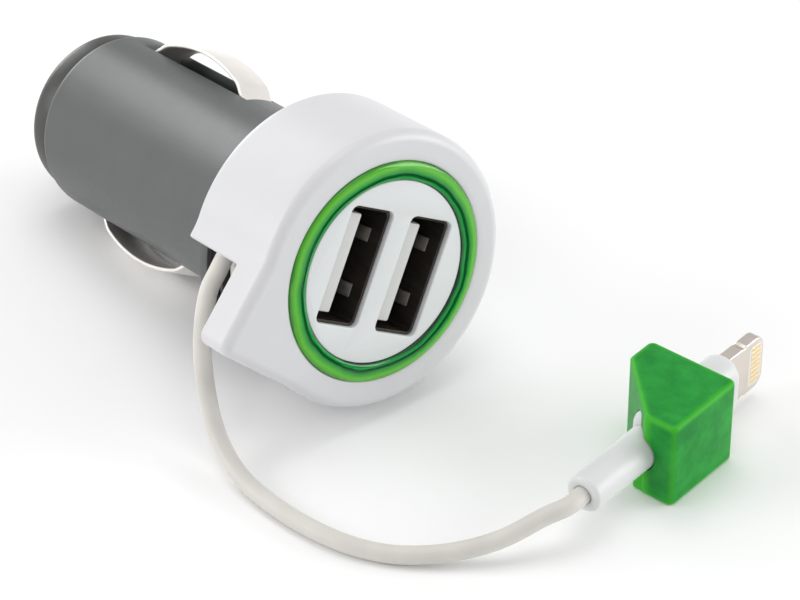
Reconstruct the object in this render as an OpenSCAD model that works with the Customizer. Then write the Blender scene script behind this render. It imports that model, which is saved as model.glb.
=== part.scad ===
// Car socket charger with two front ports and a short pull-out cord on a reel.
// The body lies on its side as it rests on a table: housing and barrel rim touch it.
// Working frame of the body: +z leaves the front face, y runs along the long side of the ports.

/* [Housing] */
// Radius of the round part of the housing
housing_r = 15.85; // [15.7:0.05:18]
// Depth of the housing from its front face to its open back
housing_depth = 13.3; // [13:0.1:15]
// How much closer to the axis than the round body the flats of the square corner lie
corner_inset = 0.75; // [0.3:0.05:0.9]
// Rounding of the square corner
corner_round = 2.0; // [1:0.1:3]
// Angle from the port axis to the flats of the corner
corner_turn = 12.4; // [0:0.2:20]
// Radius of the hollow that blends the round body into each flat
corner_blend = 8.0; // [2:0.5:14]
// Rounding of the front and back edges
housing_edge_r = 1.2; // [0.6:0.1:1.4]
// Wall of the housing
housing_wall = 1.6; // [1.4:0.1:1.9]
// Thickness of the lip in front of the cord notch
lip_t = 4.6; // [4.2:0.1:5]
// Distance from the axis to the two walls of the cord notch
notch_inset = 6.2; // [5.5:0.1:7]

/* [Front] */
// Width of the housing's face outside the light ring
face_rim = 3.45; // [3.1:0.05:3.8]
// Width of the light ring
light_ring_w = 2.05; // [1.6:0.05:2.4]
// How far the crown of the light ring stands in front of the face
light_ring_crown = 0.35; // [0.1:0.05:0.6]
// Depth of the light ring behind the face
light_ring_depth = 2.6; // [2:0.1:2.8]
// Thickness of the face plate
face_plate_t = 1.4; // [1:0.1:2]
// Radial play between parts that are pushed together
fit_gap = 0.05; // [0.02:0.01:0.1]

/* [Ports] */
// Distance of each port from the centre of the face
port_offset = 4.2; // [4:0.05:4.6]
// Width of the opening of a port
port_w = 12.5; // [12.3:0.05:12.7]
// Height of the opening of a port
port_h = 5.12; // [5:0.02:5.3]
// Sheet thickness of a port shell
port_shell_t = 0.3; // [0.25:0.01:0.4]
// Thickness of the board behind the ports
port_board_t = 1.15; // [0.8:0.05:1.4]
// Width of the tongue in a port
port_tongue_w = 11.1; // [10.6:0.1:11.4]
// Thickness of the tongue in a port
port_tongue_t = 1.84; // [1.6:0.02:2]
// How far the tongue stays behind the face
port_tongue_recess = 1.4; // [0.8:0.1:2]
// Length of a contact strip on a tongue
port_contact_l = 7.4; // [6:0.1:8]
// Width of the sprung grips of a port shell
grip_w = 2.2; // [1.6:0.1:2.8]
// Length of the sprung grips
grip_l = 4.2; // [3.4:0.1:5]
// How far the grips reach into the port
grip_in = 0.7; // [0.4:0.05:0.8]

/* [Barrel] */
// Radius of the barrel
barrel_r = 10.45; // [10.2:0.05:10.5]
// Length of the barrel behind its flange
barrel_len = 37.2; // [36:0.1:40]
// Wall of the barrel
barrel_wall = 1.5; // [1.2:0.1:1.8]
// How far the flange sits inside the back of the housing
flange_inset = 0.8; // [0.4:0.1:1]
// Thickness of the flange
flange_t = 1.5; // [1.2:0.1:2]
// Rounding of the rear rim of the barrel
barrel_rim_r = 1.0; // [0.3:0.1:1.2]

/* [End cap] */
// How much smaller in radius the end cap is than the barrel
cap_inset = 0.75; // [0.3:0.05:1]
// Length of the end cap outside the barrel
cap_len = 3.7; // [3.3:0.1:5]
// Rounding of the rear edge of the end cap
cap_edge_r = 1.6; // [1:0.1:2]
// Length of the cap's sleeve inside the barrel
cap_sleeve = 1.9; // [1.2:0.1:2]
// Radial play of the tip contact in the cap
cap_hole_gap = 0.08; // [0.03:0.01:0.1]

/* [Tip contact] */
// Radius of the tip contact
tip_r = 3.1; // [2.9:0.05:3.15]
// How far the tip stands out of the end cap
tip_out = 3.6; // [3:0.1:4.5]
// Travel of the tip contact
tip_travel = 2.4; // [1.5:0.1:2.8]
// Radius of the collar that keeps the tip in the cap
tip_collar_r = 4.2; // [4:0.05:4.5]
// Wire radius of the tip spring
tip_wire_r = 0.3; // [0.25:0.05:0.35]
// Number of turns of the tip spring
tip_turns = 6; // [4:1:8]

/* [Side contacts] */
// Width of a side contact
side_w = 4.5; // [4:0.1:5.2]
// Sheet thickness of a side contact
side_t = 0.45; // [0.35:0.05:0.6]
// How far a side contact stands out of the barrel
side_proud = 2.2; // [1.9:0.05:2.4]
// Radius of the bow of a side contact
side_bow_r = 19.5; // [18:0.1:21]
// Distance from the rear rim of the barrel to the crown of the bow
side_back = 14.0; // [13.8:0.1:14.6]
// Gap between a side contact and the sides of its slot
side_gap = 0.4; // [0.3:0.05:0.6]

/* [Reel] */
// Radial gap between the flanges of the reel and the wall of the housing
reel_play = 0.65; // [0.4:0.05:1]
// Wall of the hub that carries the winding
hub_wall = 0.65; // [0.45:0.05:0.75]
// Thickness of a reel flange
reel_flange_t = 0.65; // [0.5:0.05:0.7]
// Gap between the reel and its chamber
reel_gap = 0.3; // [0.2:0.05:0.4]
// Turns of cord that lie side by side on the reel
reel_turns = 2; // [1:1:2]
// Number of turns of the flat return spring
spring_turns = 5; // [3:1:6]
// Sheet thickness of the flat return spring
spring_t = 0.15; // [0.1:0.01:0.2]

/* [Board] */
// Width of the main board
board_w = 14.0; // [12:0.5:15]
// Thickness of the boards
board_t = 1.2; // [0.8:0.1:1.6]
// Length of the main board
board_len = 30.0; // [29:0.5:31]

/* [Plug] */
// Radius of the cord
cord_r = 1.0; // [0.9:0.05:1.1]
// Radius of the boot where it meets the plug
boot_r = 2.15; // [1.9:0.05:2.25]
// Radius of the boot at the cord
boot_end_r = 1.7; // [1.5:0.05:1.9]
// Length of the boot
boot_len = 11.0; // [9:0.1:12]
// Length of the plug body
plug_len = 13.3; // [12:0.1:15]
// Height of the plug body
plug_h = 7.5; // [7.2:0.1:8]
// Thickness of the plug body
plug_t = 4.6; // [4.2:0.1:5]
// Width of the flat metal tongue
tongue_w = 6.7; // [6.6:0.05:6.9]
// Thickness of the flat metal tongue
tongue_t = 1.5; // [1.4:0.05:1.6]
// Length of the flat metal tongue
tongue_len = 6.9; // [6.5:0.1:7]

/* [Pull tab] */
// Height of the pull tab
tab_h = 10.3; // [9.4:0.1:10.8]
// Length of the tab along the plug
tab_l = 11.1; // [10:0.1:11.4]
// Width of the tab across the plug
tab_w = 11.25; // [10.6:0.05:11.8]
// Width of the two short faces that cut the sharp corners
tab_short = 3.8; // [3:0.05:4.4]
// Distance from the plug's centre to the nearer side of the tab
tab_side = 4.75; // [4:0.05:5]
// Distance that the plug stands out in front of the tab
tab_set = 3.9; // [3.5:0.1:4.5]
// Rounding of the tab's upright edges
tab_round = 0.7; // [0.5:0.1:1.2]
// Bevel along the top and bottom of the tab
tab_bevel = 0.3; // [0.1:0.05:0.4]
// Height of the small heel at the foot of the tab
heel_h = 3.0; // [2:0.1:4]
// How far the heel stands out of the chamfer
heel_out = 1.5; // [0.8:0.1:2]

/* [Hidden] */
$fn = 72;
eps = 0.01;

// Places along the axis, front face at 0 and negative behind it
flange_z = flange_inset - housing_depth;
barrel_z = flange_z - flange_t;
rim_z = barrel_z - barrel_len;
cap_seam = 0.15;
cap_r = barrel_r - cap_inset;
cap_front_z = rim_z - cap_seam;
cap_back_z = cap_front_z - cap_len;
tip_end_z = cap_back_z - tip_out;

// Radii tied to the housing and the barrel
corner_flat = housing_r - corner_inset;
light_ring_r = housing_r - face_rim;
side_reach = barrel_r + side_proud;

// Resting place on the table, on the back edge of the housing and the rim of the barrel
roll_down = 29.75;
rest_dr = housing_r - housing_edge_r - (barrel_r - barrel_rim_r);
rest_dz = -rim_z - barrel_rim_r - (housing_depth - housing_edge_r);
rest_tilt = atan(rest_dr / rest_dz)
    + asin((housing_edge_r - barrel_rim_r) / norm([rest_dr, rest_dz]));
rest_lift = (housing_depth - housing_edge_r) * sin(rest_tilt)
    + (housing_r - housing_edge_r) * cos(rest_tilt) + housing_edge_r;
corner_reach = (corner_flat - corner_round) * sqrt(2)
    * cos(45 - corner_turn - roll_down) + corner_round;
rest_x = (corner_reach - housing_r) / 2;
rest_front = (housing_r - housing_edge_r) * sin(rest_tilt)
    - housing_edge_r * cos(rest_tilt) + housing_edge_r;
rest_y = (rest_front - (-tip_end_z) * cos(rest_tilt) - tip_r / 2 * sin(rest_tilt)) / 2;

// The body's frame set down on the table, centred over the origin
module at_rest() {
    translate([rest_x, rest_y, rest_lift])
        rotate([90 - rest_tilt, 0, 0])
            rotate([0, 0, -roll_down])
                children();
}

// Frame of the square corner, its flats along x and y
module in_corner() {
    rotate([0, 0, -corner_turn])
        children();
}

module ring(outer, inner, length) {
    difference() {
        cylinder(r = outer, h = length);
        translate([0, 0, -eps])
            cylinder(r = inner, h = length + 2 * eps);
    }
}

// Flat shape with round ends, w long and t thick
module stadium(w, t) {
    square([w - t, t], center = true);
    for (s = [-1, 1])
        translate([s * (w - t) / 2, 0])
            circle(d = t);
}

// Solid through a row of closed outlines with equal numbers of points, its walls split where they twist
module loft(rows, split = false) {
    m = len(rows);
    n = len(rows[0]);
    walls = [for (i = [0:m - 2], j = [0:n - 1])
        let (k = (j + 1) % n, a = i * n + j, b = i * n + k, c = b + n, d = a + n)
        each split ? [[a, b, c], [a, c, d]] : [[a, b, c, d]]];
    first = [[for (j = [n - 1:-1:0]) j]];
    last = [[for (j = [0:n - 1]) (m - 1) * n + j]];
    polyhedron(points = [for (row = rows) each row], faces = concat(walls, first, last));
}

// Points of an arc, skip points short of both its ends
function arc(c, r, from, to, steps, skip = 0) = [for (i = [skip:steps - skip])
    let (a = from + (to - from) * i / steps) c + r * [cos(a), sin(a)]];

// Outline of the housing in the corner's frame, d inside the outer one:
// round body, hollow blend, flat, round corner, flat and hollow blend
blend_at = -sqrt(pow(housing_r + corner_blend, 2) - pow(corner_flat + corner_blend, 2));
blend_off = -corner_flat - corner_blend;
blend_turn = atan(blend_at / blend_off);
corner_c = corner_round - corner_flat;
function housing_outline(d) = concat(
    arc([0, 0], housing_r - d, -90 - blend_turn, 180 + blend_turn, 44, 1),
    arc([blend_off, blend_at], corner_blend + d, blend_turn, 0, 3),
    arc([corner_c, corner_c], corner_round - d, 180, 270, 5),
    arc([blend_at, blend_off], corner_blend + d, 90, 90 - blend_turn, 3));

edge_steps = 3;
// Outer form of the housing: round body and one square corner
module housing_form() {
    e = housing_edge_r;
    quarter = [for (k = [0:edge_steps]) 90 * k / edge_steps];
    rows = concat(
        [for (a = quarter) [e * (1 - sin(a)), -housing_depth + e * (1 - cos(a))]],
        [for (a = quarter) [e * (1 - cos(a)), e * (sin(a) - 1)]]);
    in_corner()
        loft([for (row = rows) [for (q = housing_outline(row.x)) [q.x, q.y, row.y]]]);
}

front_wall = 1.5;
chamber_r = housing_r - housing_wall;
flange_r = chamber_r - fit_gap;
exit_x = -13.3;
exit_z = (flange_z - lip_t) / 2;
exit_slot = cord_r + 0.15;

module housing() color("white") difference() {
    housing_form();
    // seat of the light ring
    translate([0, 0, -front_wall - eps])
        cylinder(r = light_ring_r + fit_gap, h = front_wall + 2 * eps);
    // chamber for the reel, open at the back
    translate([0, 0, -housing_depth - eps])
        cylinder(r = chamber_r, h = housing_depth - front_wall + eps);
    in_corner() {
        // notch that takes the pull tab
        translate([-2 * housing_r - notch_inset, -2 * housing_r - notch_inset, -housing_depth - eps])
            cube([2 * housing_r, 2 * housing_r, housing_depth - lip_t + eps]);
        // slot where the cord leaves the chamber
        translate([exit_x - exit_slot, -notch_inset - 1, exit_z - exit_slot])
            cube([corner_flat, notch_inset - 1, 2 * exit_slot]);
    }
}

light_ring_in = light_ring_r - light_ring_w;
crown_r = (pow(light_ring_w / 2, 2) + pow(light_ring_crown, 2)) / (2 * light_ring_crown);

module light_ring() color("limegreen")
    rotate_extrude()
        intersection() {
            translate([light_ring_in, -light_ring_depth])
                square([light_ring_w, light_ring_depth + light_ring_crown]);
            union() {
                translate([light_ring_in, -light_ring_depth])
                    square([light_ring_w, light_ring_depth]);
                translate([light_ring_in + light_ring_w / 2, light_ring_crown - crown_r])
                    circle(r = crown_r, $fn = 200);
            }
        }

shell_w = port_w + 2 * port_shell_t;
shell_h = port_h + 2 * port_shell_t;
shell_front = -0.15;
shell_back = barrel_z + port_board_t;
port_depth = shell_front - shell_back;
port_corner = 0.5;

module rounded_rect(w, h, r) {
    square([w - 2 * r, h], center = true);
    square([w, h - 2 * r], center = true);
    for (x = [-1, 1], y = [-1, 1])
        translate([x * (w / 2 - r), y * (h / 2 - r)])
            circle(r = r);
}

module face_plate() color("gainsboro")
    difference() {
        translate([0, 0, -face_plate_t])
            cylinder(r = light_ring_in - fit_gap, h = face_plate_t);
        for (s = [-1, 1])
            translate([s * port_offset, 0, -face_plate_t - eps])
                linear_extrude(face_plate_t + 2 * eps)
                    rounded_rect(shell_h + 2 * fit_gap, shell_w + 2 * fit_gap, port_corner + port_shell_t);
    }

grip_y = 3.15;
grip_start = 0.85;
grip_in_wall = 0.1;

// Sheet-metal shell of one port with two sprung grips in its right wall
module port_shell() {
    difference() {
        translate([0, 0, shell_back])
            linear_extrude(port_depth)
                rounded_rect(shell_h, shell_w, port_corner + port_shell_t);
        translate([0, 0, shell_back - eps])
            linear_extrude(port_depth + 2 * eps)
                rounded_rect(port_h, port_w, port_corner);
    }
    for (s = [-1, 1])
        translate([port_h / 2, s * grip_y - grip_w / 2, shell_front - grip_start])
            rotate([-90, 0, 0])
                linear_extrude(grip_w)
                    polygon([[grip_in_wall, 0], [0, 0], [-grip_in, grip_l * 0.6],
                        [-grip_in, grip_l * 0.75], [0, grip_l], [grip_in_wall, grip_l]]);
}

module port_shell_left() color("silver") translate([-port_offset, 0, 0]) port_shell();

module port_shell_right() color("silver") translate([port_offset, 0, 0]) port_shell();

tongue_base = 3.4;
tongue_x = -port_h / 2 + 0.25;
tongue_front = -port_tongue_recess;

// Moulded tongue of one port and the base block that holds it in the shell
module port_tongue() {
    translate([tongue_x, -port_tongue_w / 2, shell_back])
        cube([port_tongue_t, port_tongue_w, tongue_front - shell_back]);
    translate([0, 0, shell_back])
        linear_extrude(tongue_base)
            rounded_rect(port_h - 2 * fit_gap, port_w - 2 * fit_gap, port_corner);
}

module port_tongue_left() color("whitesmoke") translate([-port_offset, 0, 0]) port_tongue();

module port_tongue_right() color("whitesmoke") translate([port_offset, 0, 0]) port_tongue();

strip_t = 0.15;
strip_w = 1.1;
strip_y = [-3.5, -1, 1, 3.5];
strip_front = tongue_front - 0.6;

module port_contacts() color("gold")
    for (s = [-1, 1], y = strip_y)
        translate([s * port_offset + tongue_x + port_tongue_t, y - strip_w / 2, strip_front - port_contact_l])
            cube([strip_t, strip_w, port_contact_l]);

core_r = barrel_r - barrel_wall;
board_ledge = 0.7;
flange_hole_r = core_r + board_ledge;
port_board_r = flange_hole_r - fit_gap;

module port_board() color("darkgreen")
    translate([0, 0, barrel_z])
        cylinder(r = port_board_r, h = shell_back - barrel_z);

led_board_t = 0.7;
led_t = 0.7;
led_w = 1.2;
led_l = 2.0;
led_ring_r = light_ring_r - light_ring_w / 2;
spindle_r = light_ring_in - 0.05;
spindle_wall = 0.55;

module leds() color("lightyellow")
    for (a = [45:90:315])
        rotate([0, 0, a])
            translate([led_ring_r, 0, -light_ring_depth - led_t / 2])
                cube([led_w, led_l, led_t], center = true);

led_board_front = -light_ring_depth - led_t;
led_board_back = led_board_front - led_board_t;

module led_board() color("darkgreen")
    translate([0, 0, led_board_back])
        ring(chamber_r - 0.1, spindle_r + 0.1, led_board_t);

// Tube behind the face plate that holds the ports and carries the reel
module spindle() color("whitesmoke")
    translate([0, 0, flange_z])
        ring(spindle_r, spindle_r - spindle_wall, -face_plate_t - flange_z);

crown_z = rim_z + side_back;
slot_w = side_w + 2 * side_gap;
// Bow of a side contact: a long arc, a steeper leg at each end and a tail under the wall
tail_r = sqrt(pow(core_r, 2) - pow(side_w / 2, 2)) - 0.05;
tail_l = 1.3;
arc_angle = 21.5;
leg_angle = 42;
arc_end = [side_bow_r * sin(arc_angle), side_reach - side_bow_r * (1 - cos(arc_angle))];
leg_end = [arc_end.x + (arc_end.y - tail_r) / tan(leg_angle), tail_r];
slot_half = leg_end.x - 0.1;

// Turned barrel with its flange, open at both ends, slotted for the side contacts
module barrel() color("dimgray") difference() {
    rotate_extrude() {
        translate([flange_hole_r, barrel_z])
            square([flange_r - flange_hole_r, flange_t]);
        translate([core_r, barrel_z - flange_t])
            square([barrel_wall, flange_t]);
        translate([core_r, rim_z + barrel_rim_r])
            square([barrel_wall, barrel_len - barrel_rim_r]);
        translate([core_r, rim_z])
            square([barrel_wall - barrel_rim_r, barrel_len]);
        intersection() {
            translate([barrel_r - barrel_rim_r, rim_z + barrel_rim_r])
                circle(r = barrel_rim_r);
            translate([core_r, rim_z])
                square([barrel_wall, 2 * barrel_rim_r]);
        }
    }
    for (s = [-1, 1])
        translate([-slot_w / 2, s * barrel_r - barrel_r / 2, crown_z - slot_half])
            cube([slot_w, barrel_r, 2 * slot_half]);
}

sleeve_r = core_r - fit_gap;
cap_wall = 1.5;
cap_inside_r = tip_collar_r + 0.3;
cap_inner_z = cap_back_z + cap_wall;

// Turned cap that closes the barrel and keeps the tip contact in
module end_cap() color("darkslategray")
    rotate_extrude() difference() {
        union() {
            translate([0, cap_back_z + cap_edge_r])
                square([cap_r, cap_len - cap_edge_r]);
            translate([0, cap_back_z])
                square([cap_r - cap_edge_r, cap_len]);
            translate([cap_r - cap_edge_r, cap_back_z + cap_edge_r])
                circle(r = cap_edge_r);
            translate([0, cap_front_z - eps])
                square([sleeve_r, cap_seam + cap_sleeve + eps]);
        }
        translate([-cap_r, cap_back_z - eps])
            square([cap_r + tip_r + cap_hole_gap, cap_wall + 2 * eps]);
        translate([-cap_r, cap_inner_z])
            square([cap_r + cap_inside_r, cap_len + cap_sleeve + 1]);
    }

tip_nose = 1.2;
tip_collar_t = 0.8;

// Turned tip contact, its collar held behind the cap
module tip_contact() color("gold")
    rotate_extrude() {
        translate([0, cap_inner_z])
            square([tip_collar_r, tip_collar_t]);
        translate([0, tip_end_z + tip_nose])
            square([tip_r, cap_inner_z - tip_end_z - tip_nose + eps]);
        translate([0, tip_end_z])
            square([tip_r - tip_nose, tip_nose + eps]);
        intersection() {
            translate([tip_r - tip_nose, tip_end_z + tip_nose])
                circle(r = tip_nose);
            translate([0, tip_end_z])
                square([tip_r, tip_nose + eps]);
        }
    }

board_back = barrel_z - board_len;
seat_t = 0.6;
seat_z = board_back - seat_t;
coil_r = 3.2;
coil_front = seat_z;
coil_back = cap_inner_z + tip_collar_t;

module spring_seat() color("goldenrod")
    translate([0, 0, seat_z])
        cylinder(r = tip_collar_r, h = seat_t);

// Ring of points round a point of a path, at right angles to its direction
function path_ring(p, dir, ref, r, sides) =
    let (u = cross(dir, ref), a = u / norm(u), v = cross(dir, a), b = v / norm(v))
    [for (i = [0:sides - 1]) p + r * (cos(360 * i / sides) * a + sin(360 * i / sides) * b)];

// Tube swept along points, closed at both ends
module tube(pts, r, sides, ref) {
    n = len(pts);
    loft([for (i = [0:n - 1])
        path_ring(pts[i], pts[min(i + 1, n - 1)] - pts[max(i - 1, 0)], ref, r, sides)], true);
}

coil_steps = 14;

module tip_spring() color("silver") {
    low = coil_back + tip_wire_r;
    high = coil_front - tip_wire_r;
    n = tip_turns * coil_steps;
    tube([for (i = [0:n]) [coil_r * cos(360 * i / coil_steps), coil_r * sin(360 * i / coil_steps),
        low + (high - low) * i / n]], tip_wire_r, 6, [0, 0, 1]);
}

bow_steps = 20;
bend = (arc_angle + leg_angle) / 2;
// Half outline of the bow from its crown to its tail, offset inwards by d
function bow(d) = concat(
    [for (i = [0:bow_steps - 1]) let (a = arc_angle * i / bow_steps)
        [(side_bow_r - d) * sin(a), side_reach - side_bow_r + (side_bow_r - d) * cos(a)]],
    [arc_end - d / cos((leg_angle - arc_angle) / 2) * [sin(bend), cos(bend)],
        leg_end - d * [tan(leg_angle / 2), 1],
        leg_end + [tail_l, -d]]);
function mirrored(pts) = [for (i = [len(pts) - 1:-1:1]) [-pts[i].x, pts[i].y]];
function reversed(pts) = [for (i = [len(pts) - 1:-1:0]) pts[i]];

// Bowed leaf along the axis, its tails tucked under the wall of the barrel
module side_contact() {
    outer = concat(mirrored(bow(0)), bow(0));
    inner = concat(mirrored(bow(side_t)), bow(side_t));
    translate([side_w / 2, 0, crown_z])
        rotate([0, -90, 0])
            linear_extrude(side_w)
                polygon(concat(outer, reversed(inner)));
}

module side_contact_upper() color("silver") side_contact();

module side_contact_lower() color("silver") rotate([0, 0, 180]) side_contact();

board_y = -3.0;
board_top = board_y + board_t / 2;

module main_board() color("darkgreen")
    translate([-board_w / 2, board_y - board_t / 2, board_back])
        cube([board_w, board_t, board_len]);

// Upright cylinder on the top of the main board
module on_board(x, z) {
    translate([x, board_top, z])
        rotate([-90, 0, 0])
            children();
}

// Parts on the board, from the back: two cans, a choke and a chip, evenly spaced
can_r = 2.9;
can_l = 7.5;
can_x = can_r + 0.2;
can_neck = 0.4;
choke_r = 4.2;
choke_h = 5.0;
choke_flange = 0.8;
chip_l = 5.0;
chip_w = 4.0;
chip_h = 1.4;
part_gap = (board_len - can_l - can_neck - 2 * choke_r - chip_l) / 4;
can_z = board_back + part_gap;
inductor_z = can_z + can_l + can_neck + part_gap + choke_r;
chip_z = inductor_z + choke_r + part_gap + chip_l / 2;

module inductor() color("dimgray") on_board(0, inductor_z) {
    cylinder(r = choke_r, h = choke_flange);
    cylinder(r = choke_r - 0.4, h = choke_h);
    translate([0, 0, choke_h - choke_flange])
        cylinder(r = choke_r, h = choke_flange);
}

// Electrolytic capacitor lying on the board along the axis
module capacitor(x) {
    translate([x, board_top + can_r, can_z]) {
        cylinder(r = can_r, h = can_l);
        translate([0, 0, can_l - eps])
            cylinder(r = can_r - 0.5, h = can_neck);
    }
}

module input_capacitor() color("midnightblue") capacitor(-can_x);

module output_capacitor() color("midnightblue") capacitor(can_x);

leg_w = 0.4;
leg_pitch = 1.25;

// Chip across the board with four legs on each of its two sides
module converter_chip() color("black") on_board(0, chip_z) {
    translate([-chip_w / 2, -chip_l / 2, 0.1])
        cube([chip_w, chip_l, chip_h]);
    for (i = [0:3], s = [-1, 1])
        translate([s * (chip_w / 2 + leg_w) - 0.5, (i - 1.5) * leg_pitch - leg_w / 2, 0])
            cube([1, leg_w, 0.25]);
}

wind_w = 2 * cord_r * reel_turns + 0.1;
wind_back = exit_z - wind_w / 2;
wind_front = exit_z + wind_w / 2;
hub_in = spindle_r + fit_gap;
hub_r = hub_in + hub_wall;
reel_r = chamber_r - reel_play;
skirt_front = led_board_back - reel_gap;
skirt_w = 0.4;

// Drum that turns on the spindle, with a skirt round its return spring
module reel_drum() color("black")
    translate([0, 0, wind_back - reel_flange_t]) {
        ring(reel_r, hub_in, reel_flange_t);
        ring(hub_r, hub_in, wind_w + 2 * reel_flange_t);
        translate([0, 0, wind_w + reel_flange_t])
            ring(reel_r, hub_in, reel_flange_t);
        translate([0, 0, wind_w + reel_flange_t])
            ring(reel_r, reel_r - skirt_w, skirt_front - wind_front);
    }

spring_in = hub_in + 0.35;
spring_out = reel_r - skirt_w - spring_t;
spring_steps = 30;
spring_back = wind_front + reel_flange_t + 0.05;
spring_front = skirt_front - 0.05;
function spiral(n, d) =
    let (k = spring_turns * spring_steps, r = spring_in + (spring_out - spring_in) * n / k + d)
    [r * cos(360 * n / spring_steps), r * sin(360 * n / spring_steps)];

module reel_spring() color("silver")
    translate([0, 0, spring_back])
        linear_extrude(spring_front - spring_back)
            polygon(concat(
                [for (n = [0:spring_turns * spring_steps]) spiral(n, 0)],
                [for (n = [spring_turns * spring_steps:-1:0]) spiral(n, spring_t)]));

// Turns of cord still on the drum, side by side
module wound_cord() color("white")
    rotate_extrude()
        for (i = [0:reel_turns - 1])
            translate([hub_r + cord_r, wind_back + 0.05 + cord_r * (2 * i + 1)]) {
                circle(r = cord_r - 0.02, $fn = 24);
                translate([-cord_r + 0.05, -cord_r])
                    square([cord_r, 2 * cord_r]);
            }

track_t = 0.6;
track_gap = 0.1;
brush_w = 0.6;
brush_l = 2.0;
brush_in = 0.9;
brush_pitch = 1.4;
brush_back = flange_z + track_t + track_gap;

module track_board() color("darkgreen")
    translate([0, 0, flange_z])
        ring(reel_r, spindle_r + 0.1, track_t);

module brushes() color("goldenrod")
    for (a = [20:120:260], i = [0, 1])
        rotate([0, 0, a])
            translate([spindle_r + brush_in + brush_pitch * i - brush_w / 2, -brush_l / 2, brush_back])
                cube([brush_w, brush_l, wind_back - reel_flange_t - brush_back]);

// Route of the cord from the housing to the plug, in the frame of the table
route = [[-11.2, -18.9, 21.1], [-12.9, -19.2, 19.2], [-14.3, -19.5, 17.6],
    [-15.5, -20.2, 15.3], [-16.2, -20.7, 12.6], [-16.5, -21.1, 9.8],
    [-16.8, -22, 6.8], [-17.4, -24, 4], [-18.1, -27.3, 2.1],
    [-18.5, -31.8, 1.2], [-18, -38.4, 1], [-16.5, -44.4, 1], [-14.1, -48.8, 1],
    [-11.1, -52, 1.3], [-7.7, -54.5, 1.9], [-4.1, -56.5, 3], [0.2, -57.7, 4.4],
    [2.1, -58.4, 4.95], [3.6, -58.4, 5.15], [5.6, -57.9, 5.15]];
plug_turn = 12.5;
plug_at = [4.8, -58.1, 5.15];

// Point between b and c on the smooth curve through a, b, c and d
function between(a, b, c, d, t) =
    b + 0.5 * t * (c - a + t * (2 * a - 5 * b + 4 * c - d + t * (3 * b - 3 * c + d - a)));
route_n = len(route);
route_steps = 3;
function route_at(i) = i < 0 ? 2 * route[0] - route[1]
    : i >= route_n ? 2 * route[route_n - 1] - route[route_n - 2] : route[i];
cord_points = [for (i = [0:route_n - 2], k = [0:route_steps - 1])
        between(route_at(i - 1), route_at(i), route_at(i + 1), route_at(i + 2), k / route_steps),
    route[route_n - 1]];

module cord() color("white") tube(cord_points, cord_r, 8, [1, 1, 1.2]);

// Frame of the plug: x along it from the end of the cord to its tip
module at_plug() {
    translate(plug_at)
        rotate([0, 0, plug_turn])
            children();
}

module along_plug(x) {
    translate([x, 0, 0])
        rotate([90, 0, 90])
            children();
}

plug_front = boot_len + plug_len;

boot_hole = 0.9;
boot_hole_r = cord_r + 0.2;
boot_edge = 0.3;

// Tapered boot with a blind hole that the cord goes into
module plug_boot() color("white")
    along_plug(0)
        difference() {
            union() {
                translate([0, 0, boot_edge])
                    cylinder(r1 = boot_end_r, r2 = boot_r, h = boot_len - boot_edge);
                cylinder(r1 = boot_end_r - boot_edge, r2 = boot_end_r, h = boot_edge);
            }
            translate([0, 0, -eps])
                cylinder(r = boot_hole_r, h = boot_hole + eps);
        }

module plug_body() color("white")
    along_plug(boot_len)
        rotate([0, 0, 90])
            linear_extrude(plug_len)
                stadium(plug_h, plug_t);

window_w = 5.2;
window_l = 3.0;
window_x = plug_front + tongue_len - 1.0 - window_l;

tip_round = 1.3;
detent_x = window_x - 0.2;

// Flat metal tongue with round tip corners, a window on each side and a detent in each edge
module plug_tongue() color("silver")
    translate([0, tongue_t / 2, 0])
        rotate([90, 0, 0])
            linear_extrude(tongue_t)
                difference() {
                    union() {
                        translate([plug_front, -tongue_w / 2])
                            square([tongue_len - tip_round, tongue_w]);
                        translate([plug_front, tip_round - tongue_w / 2])
                            square([tongue_len, tongue_w - 2 * tip_round]);
                        for (s = [-1, 1])
                            translate([plug_front + tongue_len - tip_round, s * (tongue_w / 2 - tip_round)])
                                circle(r = tip_round);
                    }
                    translate([window_x, -window_w / 2])
                        square([window_l, window_w]);
                    for (s = [-1, 1])
                        translate([detent_x, s * (tongue_w / 2 + 0.3)])
                            circle(r = 0.6);
                }

module plug_insert() color("whitesmoke")
    translate([window_x + fit_gap, -tongue_t / 2 + 0.05, -window_w / 2 + fit_gap])
        cube([window_l - 2 * fit_gap, tongue_t - 0.1, window_w - 2 * fit_gap]);

module plug_contacts() color("gold")
    for (i = [0:7], s = [-1, 1])
        translate([window_x + 0.6, s * (tongue_t / 2 - 0.025) - 0.025, -2.25 + 0.6 * i])
            cube([1.9, 0.05, 0.42]);

// Corners of the tab seen from above: a block with one large chamfer
tab_front = plug_front - tab_set;
tab_back = tab_front - tab_l;
tab_far = tab_w - tab_side;
tab_outline = [[tab_front, -tab_side], [tab_front, tab_far],
    [tab_front - tab_short, tab_far], [tab_back, tab_short - tab_side], [tab_back, -tab_side]];
tab_n = len(tab_outline);

// Centre of a round corner of radius r inside the corner b between a and c
function round_centre(a, b, c, r) =
    let (u = (b - a) / norm(b - a), w = (c - b) / norm(c - b), n = [u.y, -u.x], m = [w.y, -w.x])
    b - r * (n + m) / (1 + n * m);

heel_t = 1.2;

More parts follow.
